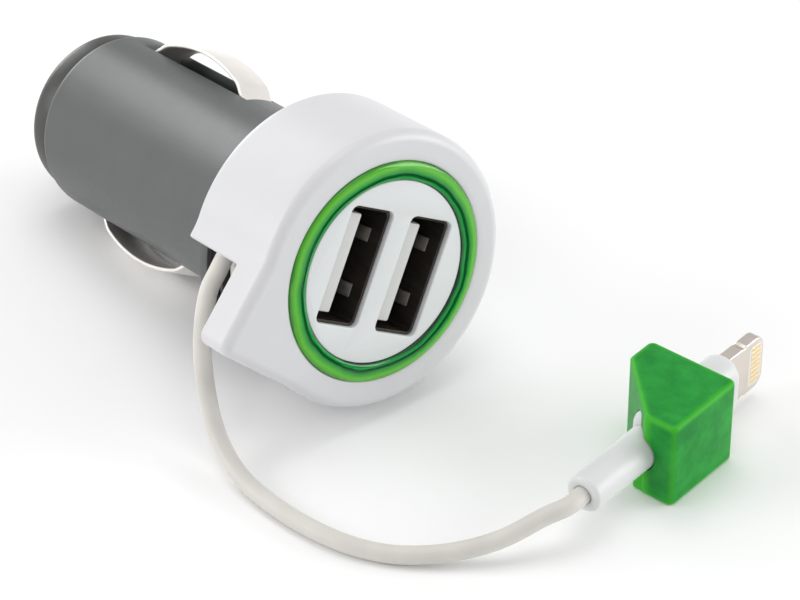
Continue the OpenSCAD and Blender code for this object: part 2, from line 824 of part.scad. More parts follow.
// Soft block round the plug, with a small heel at the foot of its chamfer
module pull_tab() color("green")
    difference() {
        union() {
            hull()
                for (i = [0:tab_n - 1])
                    translate(round_centre(tab_outline[(i + tab_n - 1) % tab_n], tab_outline[i],
                        tab_outline[(i + 1) % tab_n], tab_round)) {
                        cylinder(r = tab_round, h = tab_h - 2 * tab_bevel, center = true, $fn = 32);
                        cylinder(r = tab_round - tab_bevel, h = tab_h, center = true, $fn = 32);
                    }
            translate([tab_back + 0.2, tab_short - tab_side - tab_round, -tab_h / 2])
                cube([heel_t, heel_out + tab_round, heel_h]);
        }
        along_plug(tab_back - 1)
            rotate([0, 0, 90])
                linear_extrude(tab_l + 2)
                    stadium(plug_h + 2 * fit_gap, plug_t + 2 * fit_gap);
    }

at_rest() housing();
at_rest() light_ring();
at_rest() face_plate();
at_rest() spindle();
at_rest() port_shell_left();
at_rest() port_shell_right();
at_rest() port_tongue_left();
at_rest() port_tongue_right();
at_rest() port_contacts();
at_rest() port_board();
at_rest() leds();
at_rest() led_board();
at_rest() barrel();
at_rest() end_cap();
at_rest() tip_contact();
at_rest() tip_spring();
at_rest() spring_seat();
at_rest() side_contact_upper();
at_rest() side_contact_lower();
at_rest() main_board();
at_rest() inductor();
at_rest() input_capacitor();
at_rest() output_capacitor();
at_rest() converter_chip();
at_rest() reel_drum();
at_rest() reel_spring();
at_rest() wound_cord();
at_rest() brushes();
at_rest() track_board();
cord();
at_plug() plug_boot();
at_plug() plug_body();
at_plug() plug_tongue();
at_plug() plug_insert();
at_plug() plug_contacts();
at_plug() pull_tab();
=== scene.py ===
import bmesh
import bpy
import numpy as np
from mathutils import Matrix, Vector


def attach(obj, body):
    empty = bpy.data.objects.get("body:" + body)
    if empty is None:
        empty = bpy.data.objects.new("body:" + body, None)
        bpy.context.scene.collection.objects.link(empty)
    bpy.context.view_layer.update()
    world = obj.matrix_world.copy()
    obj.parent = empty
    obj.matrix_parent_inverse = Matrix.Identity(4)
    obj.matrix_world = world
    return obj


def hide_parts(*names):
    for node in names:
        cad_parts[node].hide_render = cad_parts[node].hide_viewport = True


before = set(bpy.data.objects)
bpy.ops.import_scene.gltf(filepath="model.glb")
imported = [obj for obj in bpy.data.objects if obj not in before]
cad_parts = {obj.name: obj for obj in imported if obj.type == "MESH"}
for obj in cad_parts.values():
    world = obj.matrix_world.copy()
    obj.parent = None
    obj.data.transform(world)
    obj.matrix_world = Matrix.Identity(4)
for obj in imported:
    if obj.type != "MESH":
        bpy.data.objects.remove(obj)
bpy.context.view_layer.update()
print("frame loaded:", len(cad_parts), "nodes")

mm = 0.001
collection = bpy.context.scene.collection

# ---- where the body and the plug lie, in millimetres and degrees
bodyPose = {"tilt": 8.0699, "roll": 29.75, "shift": (2.3262, -28.1092, 17.4035)}
plugPose = {"turn": 12.5, "at": (4.8, -58.1, 5.15)}


def turnX(degrees):
    # rotation about x
    c, s = np.cos(np.radians(degrees)), np.sin(np.radians(degrees))
    return np.array([[1, 0, 0], [0, c, -s], [0, s, c]])


def turnZ(degrees):
    # rotation about z
    c, s = np.cos(np.radians(degrees)), np.sin(np.radians(degrees))
    return np.array([[c, -s, 0], [s, c, 0], [0, 0, 1]])


bodyTurn = turnX(90 - bodyPose["tilt"]) @ turnZ(-bodyPose["roll"])
plugTurn = turnZ(plugPose["turn"])
alongX = np.array([[0, 0, 1], [1, 0, 0], [0, 1, 0]])       # z becomes x
upright = np.array([[1, 0, 0], [0, 0, -1], [0, 1, 0]])     # y becomes z


def onBody(points):
    # turn the body's own frame down on to the table, in metres
    return (points @ bodyTurn.T + np.array(bodyPose["shift"])) * mm


def onPlug(points):
    # x along the plug, z up, in metres
    return (points @ plugTurn.T + np.array(plugPose["at"])) * mm


def alongPlug(points):
    # a shape turned round z is laid along the plug
    return onPlug(points @ alongX.T)


def uprightOnPlug(points):
    # a flat outline is stood up on its edge
    return onPlug(points @ upright.T)


# ---- mesh makers
def makePiece(name, points, faces, sharpDegrees=38):
    # a mesh from an array of points and lists of corners, smooth but for its sharp edges
    mesh = bpy.data.meshes.new(name)
    used = np.unique(np.concatenate([np.asarray(f).ravel() for f in faces]))
    renumber = np.full(len(points), -1)
    renumber[used] = np.arange(len(used))
    corners = []
    for f in faces:
        corners += renumber[np.atleast_2d(np.asarray(f))].tolist()
    mesh.from_pydata(points[used].tolist(), [], corners)
    mesh.validate()
    mesh.shade_smooth()
    mesh.set_sharp_from_angle(angle=np.radians(sharpDegrees))
    piece = bpy.data.objects.new(name, mesh)
    collection.objects.link(piece)
    return piece


def gridFaces(rows, columns, wrapRows=False, wrapColumns=True):
    # four corners of each cell of a grid of rows and columns, wrapped round where asked
    i, j = np.meshgrid(np.arange(rows if wrapRows else rows - 1),
                       np.arange(columns if wrapColumns else columns - 1), indexing="ij")
    i, j = i.ravel(), j.ravel()
    k, l = (i + 1) % rows, (j + 1) % columns
    return np.stack([i * columns + j, i * columns + l, k * columns + l, k * columns + j], 1)


def lathe(name, profile, steps, place, closed=True, sharpDegrees=38):
    # a profile of (radius, height) turned round z
    profile = np.asarray(profile, float)
    angle = np.linspace(0, 2 * np.pi, steps, endpoint=False)
    points = np.stack([np.outer(profile[:, 0], np.cos(angle)), np.outer(profile[:, 0], np.sin(angle)),
                       np.repeat(profile[:, 1:2], steps, 1)], 2).reshape(-1, 3)
    faces = [gridFaces(len(profile), steps, wrapRows=closed)]
    if not closed:
        faces += [np.arange(steps)[::-1][None], (np.arange(steps) + (len(profile) - 1) * steps)[None]]
    return makePiece(name, place(points), faces, sharpDegrees)


def loftRings(name, rings, place, sharpDegrees=38):
    # rings of equal numbers of points joined in order, with flat ends
    rows, columns = rings.shape[:2]
    faces = [gridFaces(rows, columns), np.arange(columns)[::-1][None],
             (np.arange(columns) + (rows - 1) * columns)[None]]
    return makePiece(name, place(rings.reshape(-1, 3)), faces, sharpDegrees)


def quarter(steps):
    # sines and cosines over a right angle
    a = np.linspace(0, np.pi / 2, steps + 1)
    return np.sin(a), np.cos(a)


def bakeModifiers(piece, sharpDegrees):
    # the modifiers' result becomes the piece's own mesh
    bpy.context.view_layer.update()
    mesh = bpy.data.meshes.new_from_object(piece.evaluated_get(bpy.context.evaluated_depsgraph_get()))
    piece.modifiers.clear()
    piece.data = mesh
    mesh.shade_smooth()
    mesh.set_sharp_from_angle(angle=np.radians(sharpDegrees))


def roundEdges(piece, width, segments=3, limitDegrees=40, sharpDegrees=38):
    # sharp edges turned into arcs of the given radius in millimetres
    bevel = piece.modifiers.new("softEdges", "BEVEL")
    bevel.width, bevel.segments, bevel.limit_method = width * mm, segments, "ANGLE"
    bevel.angle_limit, bevel.use_clamp_overlap = np.radians(limitDegrees), False
    bakeModifiers(piece, sharpDegrees)


def cutAway(piece, cutters, sharpDegrees=38):
    # each cutter's solid is taken out of the piece, and the cutter goes
    for number, cutter in enumerate(cutters):
        cut = piece.modifiers.new("cut%d" % number, "BOOLEAN")
        cut.operation, cut.object, cut.solver = "DIFFERENCE", cutter, "EXACT"
    bakeModifiers(piece, sharpDegrees)
    for cutter in cutters:
        bpy.data.objects.remove(cutter)


def softCopy(name, node, width):
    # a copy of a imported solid, its corners merged and its flats joined, with softened edges
    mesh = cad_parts[node].data.copy()
    skin = bmesh.new()
    skin.from_mesh(mesh)
    bmesh.ops.remove_doubles(skin, verts=skin.verts, dist=1e-6)
    bmesh.ops.dissolve_limit(skin, angle_limit=np.radians(0.3), verts=skin.verts, edges=skin.edges)
    skin.to_mesh(mesh)
    skin.free()
    piece = bpy.data.objects.new(name, mesh)
    collection.objects.link(piece)
    roundEdges(piece, width)
    return piece


def dress(piece, body, slot, *nodes, material=None):
    # what every finished piece needs: its body, its slot, its material and the nodes it stands for
    piece.data.materials.clear()
    piece.data.materials.append(material or materials[slot])
    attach(piece, body)
    if nodes:
        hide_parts(*nodes)
    return piece


# ---- camera
cameraSettings = {"place": (-185.93, -273.19, 239.62), "forward": (0.4952, 0.6377, -0.5900),
                  "up": (0.3619, 0.4660, 0.8074), "lens": 162.0, "sensor": 36.0}
cameraData = bpy.data.cameras.new("camera")
cameraData.sensor_width = cameraSettings["sensor"]
cameraData.lens = cameraSettings["lens"]
cameraData.clip_start, cameraData.clip_end = 0.01, 20
camera = bpy.data.objects.new("camera", cameraData)
collection.objects.link(camera)
bpy.context.scene.camera = camera
forward = Vector(cameraSettings["forward"]).normalized()
right = forward.cross(Vector(cameraSettings["up"])).normalized()
camera.matrix_world = Matrix.Translation(Vector(cameraSettings["place"]) * mm) @ Matrix(
    (right, right.cross(forward), -forward)).transposed().to_4x4()
bpy.context.scene.view_settings.view_transform = "Standard"

# ---- materials, one finish for each slot
finishes = {
    "housing_plastic": {"tone": (0.655, 0.655, 0.674), "rough": 0.36, "grain": 2600, "bump": 0.02,
                        "mottle": 0.01},
    "face_plastic": {"tone": (0.700, 0.722, 0.730), "rough": 0.42, "grain": 5200, "bump": 0.04,
                     "mottle": 0.012},
    "white_plastic": {"tone": (0.70, 0.70, 0.68), "rough": 0.5, "grain": 3000, "bump": 0.03},
    # the port shells' near-black steel is painted shade, the shade inside the ports
    "port_steel": {"tone": (0.060, 0.052, 0.044), "rough": 0.3, "metal": 0.7, "grain": 2500, "bump": 0.05,
                   "stretch": (1, 1, 8), "mottle": 0.15},
    "tongue_plastic": {"tone": (0.64, 0.64, 0.63), "rough": 0.42, "grain": 3000, "bump": 0.03},
    "gold_plate": {"tone": (0.88, 0.70, 0.42), "rough": 0.3, "metal": 1.0, "grain": 2500, "bump": 0.03},
    "board_laminate": {"tone": (0.020, 0.085, 0.036), "rough": 0.4, "grain": 1800, "bump": 0.06,
                       "mottle": 0.25},
    "led_resin": {"tone": (0.85, 0.88, 0.6), "rough": 0.15, "grain": 1500, "bump": 0.02},
    "barrel_grey": {"tone": (0.082, 0.090, 0.088), "rough": 0.40, "grain": 1900, "bump": 0.03,
                    "mottle": 0.04},
    "cap_grey": {"tone": (0.038, 0.039, 0.034), "rough": 0.36, "grain": 2100, "bump": 0.06, "mottle": 0.08},
    "tip_nickel": {"tone": (0.62, 0.60, 0.56), "rough": 0.2, "metal": 1.0, "grain": 1800, "bump": 0.04},
    "spring_steel": {"tone": (0.50, 0.49, 0.46), "rough": 0.28, "metal": 1.0, "grain": 1800, "bump": 0.04},
    "contact_nickel": {"tone": (0.88, 0.845, 0.805), "rough": 0.38, "metal": 0.45, "grain": 1500,
                       "bump": 0.04, "mottle": 0.05},
    "seat_brass": {"tone": (0.66, 0.47, 0.2), "rough": 0.35, "metal": 1.0, "grain": 1800, "bump": 0.04},
    "choke_black": {"tone": (0.03, 0.03, 0.032), "rough": 0.6, "grain": 1600, "bump": 0.12},
    "can_sleeve": {"tone": (0.02, 0.035, 0.12), "rough": 0.3, "grain": 1200, "bump": 0.03},
    "chip_black": {"tone": (0.022, 0.022, 0.024), "rough": 0.55, "grain": 3600, "bump": 0.1},
    "drum_black": {"tone": (0.016, 0.015, 0.012), "rough": 0.5, "grain": 2600, "bump": 0.05},
    "cord_jacket": {"tone": (0.66, 0.64, 0.60), "rough": 0.46, "grain": 2400, "bump": 0.05, "mottle": 0.04,
                    "scatter": 0.3},
    "plug_white": {"tone": (0.69, 0.70, 0.70), "rough": 0.38, "grain": 2600, "bump": 0.02, "scatter": 0.3,
                   "mottle": 0.01},
    "tongue_steel": {"tone": (0.74, 0.68, 0.62), "rough": 0.36, "metal": 1.0, "grain": 2400, "bump": 0.04},
}
# finishes of single pieces that differ from their slot's
ownFinishes = {
    "gripSteel": {"tone": (0.17, 0.16, 0.145), "rough": 0.34, "metal": 0.8, "grain": 2500, "bump": 0.08},
    # near-black of painted shade, for pieces deep inside where shade falls
    "paintedShadeBlack": {"tone": (0.012, 0.014, 0.011), "rough": 0.5, "grain": 1800, "bump": 0.06},
    "paleLaminate": {"tone": (0.55, 0.62, 0.50), "rough": 0.45, "grain": 1800, "bump": 0.05},
    "frameWhite": {"tone": (0.74, 0.74, 0.73), "rough": 0.4, "grain": 3000, "bump": 0.03},
}


def addNode(tree, kind, **inputs):
    # a node with some of its inputs set, a name standing for one with a space where an underscore is
    node = tree.nodes.new(kind)
    for key, value in inputs.items():
        node.inputs[key.replace("_", " ")].default_value = value
    return node


def startMaterial(name):
    # an empty node material, its shader and its coordinates
    material = bpy.data.materials.new(name)
    material.use_nodes = True
    tree = material.node_tree
    shader = tree.nodes["Principled BSDF"]
    where = tree.nodes.new("ShaderNodeTexCoord")
    return material, tree, shader, where


def addRamp(tree, source, stops):
    # a colour ramp through (place, colour) stops, fed by source
    ramp = tree.nodes.new("ShaderNodeValToRGB")
    elements = ramp.color_ramp.elements
    while len(elements) < len(stops):
        elements.new(0.5)
    for element, (place, colour) in zip(elements, stops):
        element.position, element.color = place, (*colour, 1)
    tree.links.new(source, ramp.inputs["Fac"])
    return ramp.outputs["Color"]


def addBump(tree, shader, height, strength):
    # the height, up to a fifth of a millimetre, tilts the normal
    lift = addNode(tree, "ShaderNodeBump", Strength=strength, Distance=0.0002)
    tree.links.new(height, lift.inputs["Height"])
    tree.links.new(lift.outputs["Normal"], shader.inputs["Normal"])


def moulded(name, tone, rough, metal=0.0, grain=2000.0, bump=0.04, mottle=0.03, stretch=(1, 1, 1),
            scatter=0.0):
    # noise varies the tone and the gloss a little, and a finer noise is the moulded or rolled grain
    material, tree, shader, where = startMaterial(name)
    turn = tree.nodes.new("ShaderNodeMapping")
    turn.inputs["Scale"].default_value = stretch
    tree.links.new(where.outputs["Object"], turn.inputs["Vector"])
    cloud = addNode(tree, "ShaderNodeTexNoise", Scale=260.0, Detail=4.0)
    fine = addNode(tree, "ShaderNodeTexNoise", Scale=float(grain), Detail=3.0)
    for noise in (cloud, fine):
        tree.links.new(turn.outputs["Vector"], noise.inputs["Vector"])
    colour = addRamp(tree, cloud.outputs["Fac"], [(0.3, [c * (1 - mottle) for c in tone]),
                                                  (0.7, [min(1, c * (1 + mottle)) for c in tone])])
    tree.links.new(colour, shader.inputs["Base Color"])
    gloss = addNode(tree, "ShaderNodeMapRange", To_Min=rough * 0.86, To_Max=min(1.0, rough * 1.14))
    tree.links.new(fine.outputs["Fac"], gloss.inputs["Value"])
    tree.links.new(gloss.outputs["Result"], shader.inputs["Roughness"])
    addBump(tree, shader, fine.outputs["Fac"], bump)
    shader.inputs["Metallic"].default_value = metal
    if scatter:
        shader.inputs["Subsurface Weight"].default_value = scatter
        shader.inputs["Subsurface Radius"].default_value = (0.0008, 0.0008, 0.0007)
        shader.inputs["Subsurface Scale"].default_value = 1.0
    return material


materials = {slot: moulded(slot + "Finish", **finish) for slot, finish in finishes.items()}
materials.update({name: moulded(name, **finish) for name, finish in ownFinishes.items()})
print("materials made:", len(materials))

# ---- cord along its route on the table, the same points as the solid's
route = np.array([
    [-11.2, -18.9, 21.1], [-12.9, -19.2, 19.2], [-14.3, -19.5, 17.6], [-15.5, -20.2, 15.3],
    [-16.2, -20.7, 12.6], [-16.5, -21.1, 9.8], [-16.8, -22, 6.8], [-17.4, -24, 4], [-18.1, -27.3, 2.1],
    [-18.5, -31.8, 1.2], [-18, -38.4, 1], [-16.5, -44.4, 1], [-14.1, -48.8, 1], [-11.1, -52, 1.3],
    [-7.7, -54.5, 1.9], [-4.1, -56.5, 3], [0.2, -57.7, 4.4], [2.1, -58.4, 4.95], [3.6, -58.4, 5.15],
    [5.6, -57.9, 5.15]])
cordSettings = {"radius": 1.0, "sides": 24, "stepsPerPoint": 8, "reference": (1, 1, 1.2)}


def smoothRoute(knots, steps):
    # Catmull-Rom curve through the knots, its ends continued straight
    p = np.vstack([2 * knots[0] - knots[1], knots, 2 * knots[-1] - knots[-2]])
    t = (np.arange(steps) / steps)[None, :, None]
    a, b, c, d = (p[i:len(p) - 3 + i, None] for i in range(4))
    curve = b + 0.5 * t * (c - a + t * (2 * a - 5 * b + 4 * c - d + t * (3 * b - 3 * c + d - a)))
    return np.vstack([curve.reshape(-1, 3), knots[-1]])


def tubeRings(path, radius, sides, reference):
    # circles at right angles to the path
    along = np.gradient(path, axis=0)
    along /= np.linalg.norm(along, axis=1)[:, None]
    across = np.cross(along, reference)
    across /= np.linalg.norm(across, axis=1)[:, None]
    other = np.cross(along, across)
    angle = np.linspace(0, 2 * np.pi, sides, endpoint=False)[None, :, None]
    return path[:, None] + radius * (np.cos(angle) * across[:, None] + np.sin(angle) * other[:, None])


cordPath = smoothRoute(route, cordSettings["stepsPerPoint"])
cordPiece = loftRings("cordJacket", tubeRings(cordPath, cordSettings["radius"], cordSettings["sides"],
                                              cordSettings["reference"]), lambda p: p * mm)
dress(cordPiece, "body", "cord_jacket", "cord")

# ---- boot behind the plug, dished where the cord goes in
# hole and dish: the mouth's radius at the cord and how much wider it opens
bootSettings = {"length": 11.0, "endRadius": 2.13, "plugRadius": 2.2, "hole": 1.0, "holeDepth": 0.25,
                "dish": 0.2, "edge": 0.5}
b = bootSettings
s, c = quarter(8)
slope = (b["plugRadius"] - b["endRadius"]) / b["length"]
along = np.linspace(b["edge"], b["length"], 8)
t = np.linspace(0, 1, 6)
dish = np.stack([b["hole"] + b["dish"] * t, b["holeDepth"] * (1 - t) ** 1.6], 1)
profile = np.vstack([
    [[0.01, b["holeDepth"]]], dish,
    np.stack([b["endRadius"] - b["edge"] + b["edge"] * s, b["edge"] - b["edge"] * c], 1),
    np.stack([b["endRadius"] + slope * along[1:], along[1:]], 1), [[0.01, b["length"]]]])
bootPiece = lathe("plugBoot", profile, 48, alongPlug, closed=False, sharpDegrees=60)
dress(bootPiece, "body", "plug_white", "plug_boot")

# ---- plug body: an upright bar with round ends and rounded edges
plugSettings = {"start": 11.0, "length": 13.3, "collar": 0.7, "height": 7.5, "thickness": 4.6,
                "frontEdge": 0.9, "backEdge": 1.1}


def stadiumRing(height, thickness, inset, x, steps=20):
    # two half circles joined by straight sides, in a plane across the plug
    r = thickness / 2 - inset
    a = np.linspace(0, np.pi, steps + 1)
    top = np.stack([r * np.cos(a), height / 2 - thickness / 2 + r * np.sin(a)], 1)
    loop = np.vstack([top, -top])
    return np.column_stack([np.full(len(loop), x), loop])


def edgeSections(start, length, startEdge, endEdge, steps=7):
    # inset and place of the sections of a bar with rounded ends
    s, c = quarter(steps)
    first = np.stack([startEdge * (1 - s), start + startEdge * (1 - c)], 1)
    last = np.stack([endEdge * (1 - c), start + length - endEdge * (1 - s)], 1)
    return np.vstack([first, last])


plugRings = np.array([stadiumRing(plugSettings["height"], plugSettings["thickness"], inset, x) for inset, x in
                      edgeSections(plugSettings["start"], plugSettings["length"] + plugSettings["collar"],
                                   plugSettings["backEdge"], plugSettings["frontEdge"])])
plugPiece = loftRings("plugBody", plugRings, onPlug)
dress(plugPiece, "body", "plug_white", "plug_body")

# ---- pull tab: soft block round the plug, with one large chamfer and a small heel at its foot
# short: how much the chamfer takes of two sides, side: from the plug's middle to the long face,
# set: how far the plug's first 13.3 mm stand out of the tab, gap: room round the plug in its pocket
tabSettings = {"height": 10.3, "length": 11.1, "width": 11.25, "short": 3.8, "side": 4.75, "set": 3.9,
               "round": 0.8, "edge": 0.45, "gap": 0.12, "bootWay": 2.36, "pocket": 10.9,
               "heelHeight": 3.0, "heelOut": 1.5, "heelThickness": 1.2, "heelRound": 0.35, "heelIn": 0.2}
k = tabSettings


def roundOutline(corners, radius, steps):
    # outline with every corner turned into an arc, and the outward direction at each point
    corners = np.asarray(corners, float)
    points, normals = [], []
    for i, corner in enumerate(corners):
        before, after = corners[i - 1], corners[(i + 1) % len(corners)]
        u = (corner - before) / np.linalg.norm(corner - before)
        w = (after - corner) / np.linalg.norm(after - corner)
        n, m = np.array([u[1], -u[0]]), np.array([w[1], -w[0]])
        centre = corner - radius * (n + m) / (1 + n @ m)
        a0, a1 = np.arctan2(n[1], n[0]), np.arctan2(m[1], m[0])
        a = np.linspace(a0, a0 + (a1 - a0) % (2 * np.pi), steps + 1)
        out = np.stack([np.cos(a), np.sin(a)], 1)
        points.append(centre + radius * out)
        normals.append(out)
    return np.vstack(points), np.vstack(normals)


def outlineRings(outline, outward, sections):
    # the outline drawn in by each section's inset and lifted to its level
    return np.array([np.column_stack([outline - inset * outward, np.full(len(outline), z)])
                     for inset, z in sections])


def roundBlock(name, corners, low, high, radius, edge, place):
    # an outline carried from low to high, rounded by edge at both ends
    outline, outward = roundOutline(corners, radius, 8)
    sections = edgeSections(low, high - low, edge, edge, 6)
    return loftRings(name, outlineRings(outline, outward, sections), place)


tabFront = plugSettings["start"] + plugSettings["length"] - k["set"]
tabBack, tabFar = tabFront - k["length"], k["width"] - k["side"]
tabCorners = [[tabFront, -k["side"]], [tabFront, tabFar], [tabFront - k["short"], tabFar],
              [tabBack, k["short"] - k["side"]], [tabBack, -k["side"]]]
half = k["height"] / 2
tabPiece = roundBlock("pullTab", tabCorners, -half, half, k["round"], k["edge"], onPlug)
heelX, heelY = tabBack + k["heelIn"], k["short"] - k["side"] - k["round"]
heel = roundBlock("heel", [[heelX, heelY], [heelX + k["heelThickness"], heelY],
                           [heelX + k["heelThickness"], heelY + k["heelOut"] + k["round"]],
                           [heelX, heelY + k["heelOut"] + k["round"]]],
                  -half, -half + k["heelHeight"], k["heelRound"], k["heelRound"], onPlug)
joined = tabPiece.modifiers.new("heel", "BOOLEAN")
joined.operation, joined.object, joined.solver = "UNION", heel, "EXACT"
bakeModifiers(tabPiece, 38)
bpy.data.objects.remove(heel)
room, past = 2 * k["gap"], 2            # past: how far a cutter stands out of the tab
pocketRings = np.array([stadiumRing(plugSettings["height"] + room, plugSettings["thickness"] + room, 0, x)
                        for x in (k["pocket"], tabFront + past)])
wayEnd = k["pocket"] + 1
wayProfile = [[0.01, tabBack - past], [k["bootWay"], tabBack - past], [k["bootWay"], wayEnd], [0.01, wayEnd]]
cutAway(tabPiece, [loftRings("pocket", pocketRings, onPlug),
                   lathe("bootWay", wayProfile, 48, alongPlug, closed=False)])

# silicone: mottled skin, with a painted highlight along the rounded edges where two faces meet
# edge: the colour of the painted highlight along the tab's rounded edges
siliconeFinish = {"dark": (0.002, 0.20, 0.024), "light": (0.022, 0.35, 0.042), "edge": (0.060, 0.48, 0.020),
                  "paintedHighlightWidth": 0.8, "rough": 0.46}
siliconeMaterial, tree, shader, where = startMaterial("tabSilicone")
cloud = addNode(tree, "ShaderNodeTexNoise", Scale=300.0, Detail=7.0, Roughness=0.62)
fine = addNode(tree, "ShaderNodeTexNoise", Scale=2600.0, Detail=3.0)
for noise in (cloud, fine):
    tree.links.new(where.outputs["Object"], noise.inputs["Vector"])
colour = addRamp(tree, cloud.outputs["Fac"],
                 [(0.32, siliconeFinish["dark"]), (0.70, siliconeFinish["light"])])
sides = np.array(tabCorners)
spans = np.roll(sides, -1, 0) - sides
normals = np.stack([spans[:, 1], -spans[:, 0]], 1) / np.linalg.norm(spans, axis=1)[:, None]
planes = [(*(plugTurn @ [n[0], n[1], 0]), p @ n) for p, n in zip(sides, normals)]
planes += [(0, 0, 1, half), (0, 0, -1, half)]
total = None
for x, y, z, reach in planes:
    # closeness to one face of the tab, from its plane's distance
    level = (reach + np.dot((x, y, z), plugPose["at"])) * mm
    across = tree.nodes.new("ShaderNodeVectorMath")
    across.operation = "DOT_PRODUCT"
    across.inputs[1].default_value = (x, y, z)
    tree.links.new(where.outputs["Object"], across.inputs[0])
    near = addNode(tree, "ShaderNodeMapRange", From_Min=level - siliconeFinish["paintedHighlightWidth"] * mm,
                   From_Max=level)
    near.interpolation_type = "SMOOTHSTEP"
    tree.links.new(across.outputs["Value"], near.inputs["Value"])
    if total is None:
        total = near.outputs["Result"]
    else:
        add = tree.nodes.new("ShaderNodeMath")
        tree.links.new(total, add.inputs[0])
        tree.links.new(near.outputs["Result"], add.inputs[1])
        total = add.outputs["Value"]
# painted highlight: the edge colour is mixed in where two faces meet
edge = addNode(tree, "ShaderNodeMapRange", From_Min=1.0, From_Max=1.9, To_Max=0.7)
tree.links.new(total, edge.inputs["Value"])
mix = tree.nodes.new("ShaderNodeMix")
mix.data_type = "RGBA"                  # its two colours are inputs 6 and 7, its result is output 2
mix.inputs[7].default_value = (*siliconeFinish["edge"], 1)
tree.links.new(edge.outputs["Result"], mix.inputs["Factor"])
tree.links.new(colour, mix.inputs[6])
tree.links.new(mix.outputs[2], shader.inputs["Base Color"])
addBump(tree, shader, fine.outputs["Fac"], 0.12)
shader.inputs["Roughness"].default_value = siliconeFinish["rough"]
shader.inputs["Specular IOR Level"].default_value = 0.2
shader.inputs["Subsurface Weight"].default_value = 0.25
shader.inputs["Subsurface Radius"].default_value = (0.0003, 0.0012, 0.0003)
shader.inputs["Subsurface Scale"].default_value = 1.0
materials["tab_silicone"] = siliconeMaterial
dress(tabPiece, "body", "tab_silicone", "pull_tab")

# ---- metal tongue of the plug with its contact window, the window and pads showing on both sides
tongueSettings = {"start": 24.0, "end": 31.2, "width": 6.7, "thickness": 1.5, "tip": 1.55, "edge": 0.2,
                  "dentAt": 27.5, "dentRadius": 0.6, "dentOff": 0.45, "dentSpan": 0.62,
                  "window": (28.45, 30.8), "windowHeight": 5.2, "windowRound": 0.5, "windowProud": 0.02,
                  "pads": 8, "padPitch": 0.6, "padHeight": 0.54, "pad": (28.85, 30.65), "padRound": 0.08,
                  "padProud": 0.035}
q = tongueSettings


def tongueOutline(q):
    # straight edge with a round dent, a round tip corner, and the same mirrored
    side, tip = q["width"] / 2, q["tip"]
    x = np.r_[q["start"], np.linspace(q["dentAt"] - q["dentSpan"], q["dentAt"] + q["dentSpan"], 17),
              q["end"] - tip - 0.02]
    dent = np.sqrt(np.clip(q["dentRadius"] ** 2 - (x - q["dentAt"]) ** 2, 0, None)) - q["dentOff"]
    y = side - np.clip(dent, 0, None)
    a = np.linspace(np.pi / 2, 0, 12)
    corner = np.stack([q["end"] - tip + tip * np.cos(a), side - tip + tip * np.sin(a)], 1)
    upper = np.vstack([np.stack([x, y], 1), corner])
    return np.vstack([upper * [1, -1], upper[::-1]])


outline = tongueOutline(q)
span = np.roll(outline, -1, 0) - np.roll(outline, 1, 0)
outward = np.stack([span[:, 1], -span[:, 0]], 1) / np.linalg.norm(span, axis=1)[:, None]
half = q["thickness"] / 2
tongueRings = outlineRings(outline, outward, edgeSections(-half, 2 * half, q["edge"], q["edge"], 5))
tonguePiece = loftRings("plugTongue", tongueRings, uprightOnPlug)
dress(tonguePiece, "body", "tongue_steel", "plug_tongue")


def flatPatch(name, x0, x1, z0, z1, proud, radius):
    # a rounded plate through the tongue that stands a hair proud on both sides
    corners = [[x0, z0], [x1, z0], [x1, z1], [x0, z1]]
    return roundBlock(name, corners, -half - proud, half + proud, radius, 0.02, uprightOnPlug)


windowPiece = flatPatch("tongueWindow", *q["window"], -q["windowHeight"] / 2, q["windowHeight"] / 2,
                        q["windowProud"], q["windowRound"])
dress(windowPiece, "body", "white_plastic", "plug_insert", material=materials["frameWhite"])
padPieces = []
for number in range(q["pads"]):
    z = (number - (q["pads"] - 1) / 2) * q["padPitch"]
    padPieces.append(flatPatch("tonguePad%d" % number, *q["pad"], z - q["padHeight"] / 2,
                               z + q["padHeight"] / 2, q["padProud"], q["padRound"]))
dress(padPieces[0], "body", "gold_plate", "plug_contacts")
for piece in padPieces[1:]:
    dress(piece, "body", "gold_plate")
print("plug and tab made")

# ---- housing: one closed skin round the axis, its rear wall left out along the notch
# flats: distance from the axis and direction of each, blends: radii of the hollows into them,
# lip: height left in front of the notch, notch: its reach from the corner's axes, seat: bore for the ring
housingSettings = {"radius": 15.72, "depth": 13.3, "flats": ((15.1, 167.6), (15.5, 256.0)),
                   "cornerRound": 1.3, "blends": (8.0, 16.0), "edge": 1.25, "wall": 1.6, "lip": 4.6,
                   "notch": 6.2, "frontWall": 1.5, "seat": 12.41, "seatLoop": 0.7, "faceLoop": 13.3,
                   "softEdge": 0.28}
h = housingSettings


def arcPoints(centre, radius, start, end, steps, sign=1):
    # arc and its outward directions, sign -1 for a hollow
    a = np.radians(np.linspace(start, end, steps + 1))
    out = np.stack([np.cos(a), np.sin(a)], 1)
    return np.asarray(centre) + radius * out, sign * out


def straightPoints(start, end, out, fractions):
    # points at the given shares of the way from start to end, all facing out
    t = np.asarray(fractions)[:, None]
    return np.asarray(start) * (1 - t) + np.asarray(end) * t, np.tile(out, (len(t), 1))


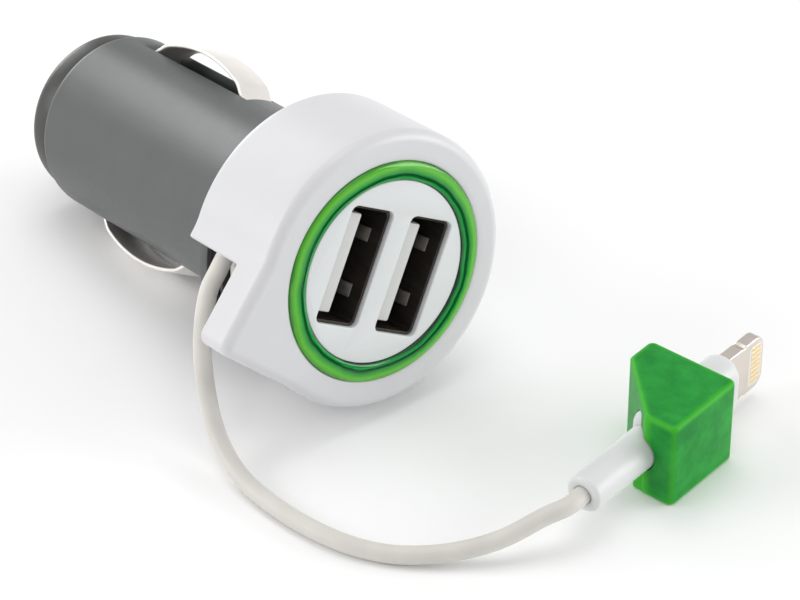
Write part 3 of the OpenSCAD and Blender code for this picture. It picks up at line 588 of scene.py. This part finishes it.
def housingOutline(h):
    # round body, hollow, flat, round corner, flat, hollow:
    # their points and directions, the inner angles and the rows where the notch starts and ends
    r, rc, notch, chamber = h["radius"], h["cornerRound"], h["notch"], h["radius"] - h["wall"]
    n, t, hollow, foot, turn = [], [], [], [], []
    for (flat, angle), blend, way in zip(h["flats"], h["blends"], (1, -1)):
        a = np.radians(angle)
        n.append(np.array([np.cos(a), np.sin(a)]))
        t.append(np.array([-np.sin(a), np.cos(a)]))
        offset = np.sqrt((r + blend) ** 2 - (flat + blend) ** 2)
        hollow.append((flat + blend) * n[-1] + way * offset * t[-1])
        foot.append(flat * n[-1] + way * offset * t[-1])
        turn.append(np.degrees(np.arctan(offset / (flat + blend))))
    (flatOne, angleOne), (flatTwo, angleTwo) = h["flats"]
    corner = np.linalg.solve(np.array(n), np.array([flatOne - rc, flatTwo - rc]))
    ends = [corner + rc * n[0], corner + rc * n[1]]
    # the notch's corners on the flats
    marks = [flatOne * n[0] + notch * t[0], flatTwo * n[1] - notch * t[1]]
    parts = [
        arcPoints((0, 0), r, angleTwo - turn[1] - 360, angleOne + turn[0], 200),
        arcPoints(hollow[0], h["blends"][0], angleOne + turn[0] + 180, angleOne + 180, 10, -1),
        straightPoints(foot[0], marks[0], n[0], [1]),
        straightPoints(marks[0], ends[0], n[0], np.linspace(0.09, 1, 10)[:-1]),
        arcPoints(corner, rc, angleOne, angleTwo, 14),
        straightPoints(ends[1], marks[1], n[1], np.linspace(0, 0.91, 10)[1:]),
        straightPoints(marks[1], foot[1], n[1], [0, 0.3, 0.65]),
        arcPoints(hollow[1], h["blends"][1], angleTwo + 180, angleTwo - turn[1] + 180, 10, -1)]
    parts[1] = (parts[1][0][1:], parts[1][1][1:])
    parts[7] = (parts[7][0][:-1], parts[7][1][:-1])
    points, normals = np.vstack([p[0] for p in parts]), np.vstack([p[1] for p in parts])
    sizes = np.cumsum([len(p[0]) for p in parts])
    start, finish = sizes[2] - 1, sizes[5]
    away = np.degrees(np.arcsin(notch / chamber))
    index = np.arange(len(points))
    # inner angle: the points' own on the round body, in plane with the walls at the notch, even between
    own = np.degrees(np.unwrap(np.arctan2(points[:, 1], points[:, 0])))
    inner = np.interp(index, [0, sizes[0] - 1, start, finish, len(points) - 1],
                      [own[0], own[sizes[0] - 1], angleOne + away, angleTwo - away, own[-1]])
    inner[:sizes[0]] = own[:sizes[0]]
    return points, normals, inner, start, finish


outline, outward, innerAngle, notchFrom, notchTo = housingOutline(h)
s, c = quarter(12)
# inset and z of each column: from the face round its edge, then down the outside
front = np.stack([h["edge"] * (1 - c), h["edge"] * (s - 1)], 1)[::-1]
outer = np.vstack([front, [[0, z] for z in (
    -2.2, -3.2, -h["lip"] + 0.6, -h["lip"], -h["lip"] - 0.7, -7, -9, -11, -h["depth"] + 0.8, -h["depth"])]])
lipOut = len(front) + 3                       # the lip's back edge on the outside
chamber = h["radius"] - h["wall"]
# radius and z of each column inside: up the chamber's wall, over its front wall, up the ring's seat
innerRows = np.array(
    [[chamber, z] for z in (-h["depth"], -11, -9, -7, -h["lip"] - 0.7, -h["lip"], -3, -h["frontWall"])]
    + [[h["seat"], -h["frontWall"]], [h["seat"], -h["seatLoop"]], [h["seat"], 0], [h["faceLoop"], 0]])
lipIn = len(outer) + 5                        # and on the chamber's wall
count = len(outline)
outerPoints = np.concatenate([outline[:, None] - outer[None, :, :1] * outward[:, None],
                              np.broadcast_to(outer[None, :, 1:], (count, len(outer), 1))], 2)
angle = np.radians(innerAngle)[:, None]
innerPoints = np.stack([innerRows[None, :, 0] * np.cos(angle), innerRows[None, :, 0] * np.sin(angle),
                        np.broadcast_to(innerRows[None, :, 1], (count, len(innerRows)))], 2)
housingGrid = np.concatenate([outerPoints, innerPoints], 1)
columns = housingGrid.shape[1]
faces = gridFaces(count, columns, wrapRows=True)
row, column = faces[:, 0] // columns, faces[:, 0] % columns
gap = (row >= notchFrom) & (row < notchTo) & (column >= lipOut) & (column < lipIn)
rows = np.arange(notchFrom, notchTo)
lipBack = np.stack([rows * columns + lipOut, rows * columns + lipIn, (rows + 1) * columns + lipIn,
                    (rows + 1) * columns + lipOut], 1)
ends = [(notchFrom * columns + np.arange(lipOut, lipIn + 1))[None],
        (notchTo * columns + np.arange(lipOut, lipIn + 1))[::-1][None]]
housingPiece = makePiece("housingShell", onBody(housingGrid.reshape(-1, 3)),
                         [faces[~gap], lipBack] + ends, 32)
roundEdges(housingPiece, h["softEdge"], 3, 50, 40)
dress(housingPiece, "body", "housing_plastic", "housing")
print("housing made")

# ---- light ring: a crowned clear ring, each point knowing how far across and where round the ring it is
# crown: how far it bulges out of the face
ringSettings = {"outer": 12.4, "width": 2.05, "crown": 0.35, "depth": 2.6, "steps": 192}
g = ringSettings
inner = g["outer"] - g["width"]
t = np.linspace(0, 1, 33)
crown = np.stack([inner + g["width"] * t, g["crown"] * np.sqrt(1 - (2 * t - 1) ** 2) ** 0.9], 1)
profile = np.vstack([[[inner, -g["depth"]]], crown, [[g["outer"], -g["depth"]]]])[::-1]
ringPiece = lathe("lightRing", profile, g["steps"], onBody)
aroundRing = np.tile(np.linspace(0, 2 * np.pi, g["steps"], endpoint=False), len(profile))
acrossRing = np.repeat((g["outer"] - profile[:, 0]) / g["width"], g["steps"])
ringPlace = np.stack([np.cos(aroundRing), np.sin(aroundRing), acrossRing], 1)
ringPiece.data.attributes.new("ringPlace", "FLOAT_VECTOR", "POINT").data.foreach_set(
    "vector", ringPlace.astype(np.float32).ravel())
# colour across the ring: its own green, with painted highlights in the bright band near the outer edge and
# the thin bright band near the inner edge, and painted shade in the dark band between them and at the inner
# edge
ringFinish = {"rough": 0.05, "through": 0.35, "greenAndPaintedLight": [
    (0.00, (0.060, 0.400, 0.030)), (0.05, (0.100, 0.560, 0.030)), (0.24, (0.170, 0.720, 0.040)),
    (0.42, (0.050, 0.520, 0.045)), (0.56, (0.012, 0.330, 0.045)), (0.64, (0.004, 0.090, 0.025)),
    (0.74, (0.005, 0.110, 0.030)), (0.80, (0.012, 0.500, 0.080)), (0.90, (0.008, 0.320, 0.055)),
    (1.00, (0.003, 0.060, 0.018))]}
ringMaterial, tree, shader, where = startMaterial("lightRingGreen")
place = tree.nodes.new("ShaderNodeAttribute")
place.attribute_name = "ringPlace"
apart = tree.nodes.new("ShaderNodeSeparateXYZ")
tree.links.new(place.outputs["Vector"], apart.inputs["Vector"])
stretch = tree.nodes.new("ShaderNodeMapping")
stretch.inputs["Scale"].default_value = (1.3, 1.3, 0.15)
tree.links.new(place.outputs["Vector"], stretch.inputs["Vector"])
# noise wobbles the painted bands a little round the ring, as painted reflections
reflectionWobble = addNode(tree, "ShaderNodeTexNoise", Scale=1.6, Detail=2.0, Roughness=0.45, Distortion=0.4)
tree.links.new(stretch.outputs["Vector"], reflectionWobble.inputs["Vector"])
shift = addNode(tree, "ShaderNodeMapRange", From_Min=0.35, From_Max=0.65, To_Min=-0.07, To_Max=0.07)
tree.links.new(reflectionWobble.outputs["Fac"], shift.inputs["Value"])
add = tree.nodes.new("ShaderNodeMath")
tree.links.new(apart.outputs["Z"], add.inputs[0])
tree.links.new(shift.outputs["Result"], add.inputs[1])
tree.links.new(addRamp(tree, add.outputs["Value"], ringFinish["greenAndPaintedLight"]), shader.inputs["Base Color"])
shader.inputs["Roughness"].default_value = ringFinish["rough"]
shader.inputs["Transmission Weight"].default_value = ringFinish["through"]
shader.inputs["IOR"].default_value = 1.49
materials["light_ring_plastic"] = ringMaterial
dress(ringPiece, "body", "light_ring_plastic", "light_ring")

# ---- disc with the two port openings, its edges softened
discPiece = softCopy("faceDisc", "face_plate", 0.14)
dress(discPiece, "body", "face_plastic", "face_plate")

# ---- ports: a shell whose near-black steel is painted shade, two sprung grips in its right wall and a pale tongue
portSettings = {"offset": 4.2, "width": 12.5, "height": 5.12, "sheet": 0.3, "corner": 0.5, "edge": 0.1,
                "front": -0.5, "back": -12.85, "tongueWidth": 11.1, "tongueThickness": 1.84,
                "tongueIn": 0.25, "tongueFront": -1.1, "baseFront": -9.45, "baseRoom": 0.1,
                "gripAt": 3.15, "gripWidth": 1.55, "gripFrom": -2.3, "gripLength": 2.2, "gripIn": 0.6,
                "gripSheet": 0.25, "gripCrest": 0.68, "gripRound": (0.8, 0.25)}
ports = portSettings


def portLoop(width, height, corner, z, x):
    # rounded rectangle at one level
    loop, _ = roundOutline([[height / 2, -width / 2], [height / 2, width / 2], [-height / 2, width / 2],
                            [-height / 2, -width / 2]], corner, 6)
    return np.column_stack([loop[:, 0] + x, loop[:, 1], np.full(len(loop), z)])


wide, high, sheet, edge = ports["width"], ports["height"], ports["sheet"], ports["edge"]
out, crest = ports["corner"] + sheet, ports["gripCrest"]
for x, name in ((-ports["offset"], "left"), (ports["offset"], "right")):
    rings = np.array([portLoop(wide + grow, high + grow, corner, z, x) for grow, corner, z in (
        (2 * sheet, out, ports["back"]), (2 * sheet, out, ports["front"] - edge),
        (2 * (sheet - edge), out - edge, ports["front"]), (2 * edge, ports["corner"] + edge, ports["front"]),
        (0, ports["corner"], ports["front"] - edge), (0, ports["corner"], ports["back"]))])
    shell = makePiece("portShell_" + name, onBody(rings.reshape(-1, 3)),
                      [gridFaces(len(rings), rings.shape[1], wrapRows=True)])
    dress(shell, "body", "port_steel", "port_shell_" + name)
    for number, y in enumerate((-ports["gripAt"], ports["gripAt"])):
        # each grip is a strip that bends into the port and back, rounded at its free end
        t = np.linspace(0, 1, 15)
        reach = ports["gripIn"] * np.where(t < crest, np.sin(t / crest * np.pi / 2),
                                           np.cos((t - crest) / (1 - crest) * np.pi / 2))
        start, length = ports["gripRound"]
        width = ports["gripWidth"] / 2 * np.sqrt(1 - np.clip((t - start) / length, 0, 1) ** 2)
        z = ports["gripFrom"] - ports["gripLength"] * t
        near = x + high / 2 - reach
        far = near + ports["gripSheet"]
        strip = np.stack([np.stack([near, y - width, z], 1), np.stack([near, y + width, z], 1),
                          np.stack([far, y + width, z], 1), np.stack([far, y - width, z], 1)], 1)
        grip = loftRings("portGrip_%s%d" % (name, number), strip, onBody)
        roundEdges(grip, 0.1, 2, 50)
        dress(grip, "body", "port_steel", material=materials["gripSteel"])
    left, halfTongue = x - high / 2 + ports["tongueIn"], ports["tongueWidth"] / 2
    right = left + ports["tongueThickness"]
    tongue = roundBlock("portTongue_" + name, [[left, -halfTongue], [right, -halfTongue],
                                               [right, halfTongue], [left, halfTongue]],
                        ports["back"], ports["tongueFront"], 0.22, 0.15, onBody)
    dress(tongue, "body", "tongue_plastic", "port_tongue_" + name)
    # the port's base deep inside takes the near-black of painted shade
    baseRings = [portLoop(wide - ports["baseRoom"], high - ports["baseRoom"], ports["corner"], z, x)
                 for z in (ports["back"], ports["baseFront"])]
    base = loftRings("portBase_" + name, np.array(baseRings), onBody)
    dress(base, "body", "tongue_plastic", material=materials["paintedShadeBlack"])
print("ring and ports made")

# ---- bowed side contacts
contactSettings = {"width": 4.5, "sheet": 0.45, "reach": 12.65, "bow": 19.5, "crown": 23.2, "arc": 21.5,
                   "leg": 42, "tail": 1.3, "tailRadius": 8.6126, "barrelFront": -14.0, "bend": 0.7}


def contactPath(q):
    # half of the leaf from its crown: a long arc, a steeper leg and a tail, the bends rounded by parabolas
    a = np.radians(np.linspace(0, q["arc"], 28))
    arc = np.stack([q["bow"] * np.sin(a), q["reach"] - q["bow"] * (1 - np.cos(a))], 1)
    end = arc[-1]
    leg = np.array([end[0] + (end[1] - q["tailRadius"]) / np.tan(np.radians(q["leg"])), q["tailRadius"]])
    tail = leg + [q["tail"], 0]
    u = (leg - end) / np.linalg.norm(leg - end)
    t = np.linspace(0, 1, 9)[:, None]
    start = arc[-3]
    bendOne = (1 - t) ** 2 * start + 2 * t * (1 - t) * end + t ** 2 * (end + u * q["bend"])
    bendTwo = (1 - t) ** 2 * (leg - u * q["bend"]) + 2 * t * (1 - t) * leg + t ** 2 * (leg + [q["bend"], 0])
    return np.vstack([arc[:-3], bendOne, bendTwo, tail[None]])


halfPath = contactPath(contactSettings)
path = np.vstack([halfPath[:0:-1] * [-1, 1], halfPath])
direction = np.gradient(path, axis=0)
direction /= np.linalg.norm(direction, axis=1)[:, None]
inwards = np.stack([direction[:, 1], -direction[:, 0]], 1)
w, t, r = contactSettings["width"] / 2, contactSettings["sheet"], 0.14
a = np.radians([[270, 300, 330, 360], [0, 30, 60, 90], [90, 120, 150, 180], [180, 210, 240, 270]])
centres = np.array([[w - r, r], [w - r, t - r], [r - w, t - r], [r - w, r]])
section = (centres[:, None] + r * np.stack([np.cos(a), np.sin(a)], 2)).reshape(-1, 2)
level = contactSettings["barrelFront"] - contactSettings["crown"]
across = np.broadcast_to(section[None, :, 0], (len(path), len(section)))
flat = path[:, None] + inwards[:, None] * section[None, :, 1:2]
leaf = np.stack([across, flat[..., 1], flat[..., 0] + level], 2)
for name, way in (("upper", [1, 1, 1]), ("lower", [-1, -1, 1])):
    piece = loftRings(name + "Contact", leaf * way, onBody)
    dress(piece, name + "_contact", "contact_nickel", "side_contact_" + name)

# ---- barrel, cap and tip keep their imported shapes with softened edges
dress(softCopy("barrelTube", "barrel", 0.12), "body", "barrel_grey", "barrel")
dress(softCopy("endCap", "end_cap", 0.12), "body", "cap_grey", "end_cap")
dress(softCopy("tipContact", "tip_contact", 0.1), "tip", "tip_nickel", "tip_contact")
print("contacts and barrel made")

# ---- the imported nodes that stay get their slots' finishes, or their own
nodeSlots = {
    "spindle": "white_plastic", "port_contacts": "gold_plate", "port_board": "board_laminate",
    "leds": "led_resin", "led_board": "board_laminate", "tip_spring": "spring_steel",
    "spring_seat": "seat_brass",
    "main_board": "board_laminate", "inductor": "choke_black", "input_capacitor": "can_sleeve",
    "output_capacitor": "can_sleeve", "converter_chip": "chip_black", "reel_drum": "drum_black",
    "reel_spring": "spring_steel", "wound_cord": "cord_jacket", "brushes": "seat_brass",
    "track_board": "board_laminate"}
# spindle, track board and port board take the near-black of painted shade
nodeOwn = {"spindle": "paintedShadeBlack", "led_board": "paleLaminate", "track_board": "paintedShadeBlack",
           "port_board": "paintedShadeBlack"}
for name, slot in nodeSlots.items():
    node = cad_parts[name]
    node.data.materials.clear()
    node.data.materials.append(materials[nodeOwn.get(name, slot)])

# ---- floor, light and world
stageSettings = {"floor": 6.0, "tone": (0.955, 0.955, 0.955), "world": 0.60}
floorMaterial, tree, shader, where = startMaterial("floorPale")
grain = addNode(tree, "ShaderNodeTexNoise", Scale=12.0, Detail=2.0)
tree.links.new(where.outputs["Object"], grain.inputs["Vector"])
colour = addRamp(tree, grain.outputs["Fac"], [(0.0, [v * 0.995 for v in stageSettings["tone"]]),
                                              (1.0, stageSettings["tone"])])
tree.links.new(colour, shader.inputs["Base Color"])
shader.inputs["Roughness"].default_value = 0.9
shader.inputs["Specular IOR Level"].default_value = 0.1
f = stageSettings["floor"] / 2
floorMesh = bpy.data.meshes.new("floor")
floorMesh.from_pydata([(-f, -f, -2e-5), (f, -f, -2e-5), (f, f, -2e-5), (-f, f, -2e-5)], [], [(0, 1, 2, 3)])
floor = bpy.data.objects.new("floor", floorMesh)
floorMesh.materials.append(floorMaterial)
collection.objects.link(floor)

world = bpy.data.worlds.new("studio")
world.use_nodes = True
world.node_tree.nodes["Background"].inputs["Color"].default_value = (1, 1, 1, 1)
world.node_tree.nodes["Background"].inputs["Strength"].default_value = stageSettings["world"]
bpy.context.scene.world = world


def softBox(name, place, target, size, power):
    # a square area light that faces its target
    data = bpy.data.lights.new(name, "AREA")
    data.shape, data.size, data.energy = "SQUARE", size, power
    lamp = bpy.data.objects.new(name, data)
    collection.objects.link(lamp)
    lamp.matrix_world = Matrix.Translation(Vector(place)) @ (Vector(place) - Vector(target)).to_track_quat(
        "Z", "Y").to_matrix().to_4x4()


# low boxes at the back left and the front right leave what faces the camera a little darker, as in the photo
lightSettings = {"backLeft": ((-0.80, 0.50, 0.42), 0.6, 4.2), "frontRight": ((0.80, -0.62, 0.25), 0.6, 5.2),
                 "top": ((0.10, 0.10, 1.10), 0.7, 3.0), "behind": ((0.10, 1.20, 0.30), 0.6, 5.0)}
lightTarget = (0, -0.03, 0.01)
for name, (place, size, power) in lightSettings.items():
    softBox(name, place, lightTarget, size, power)
print("stage set")
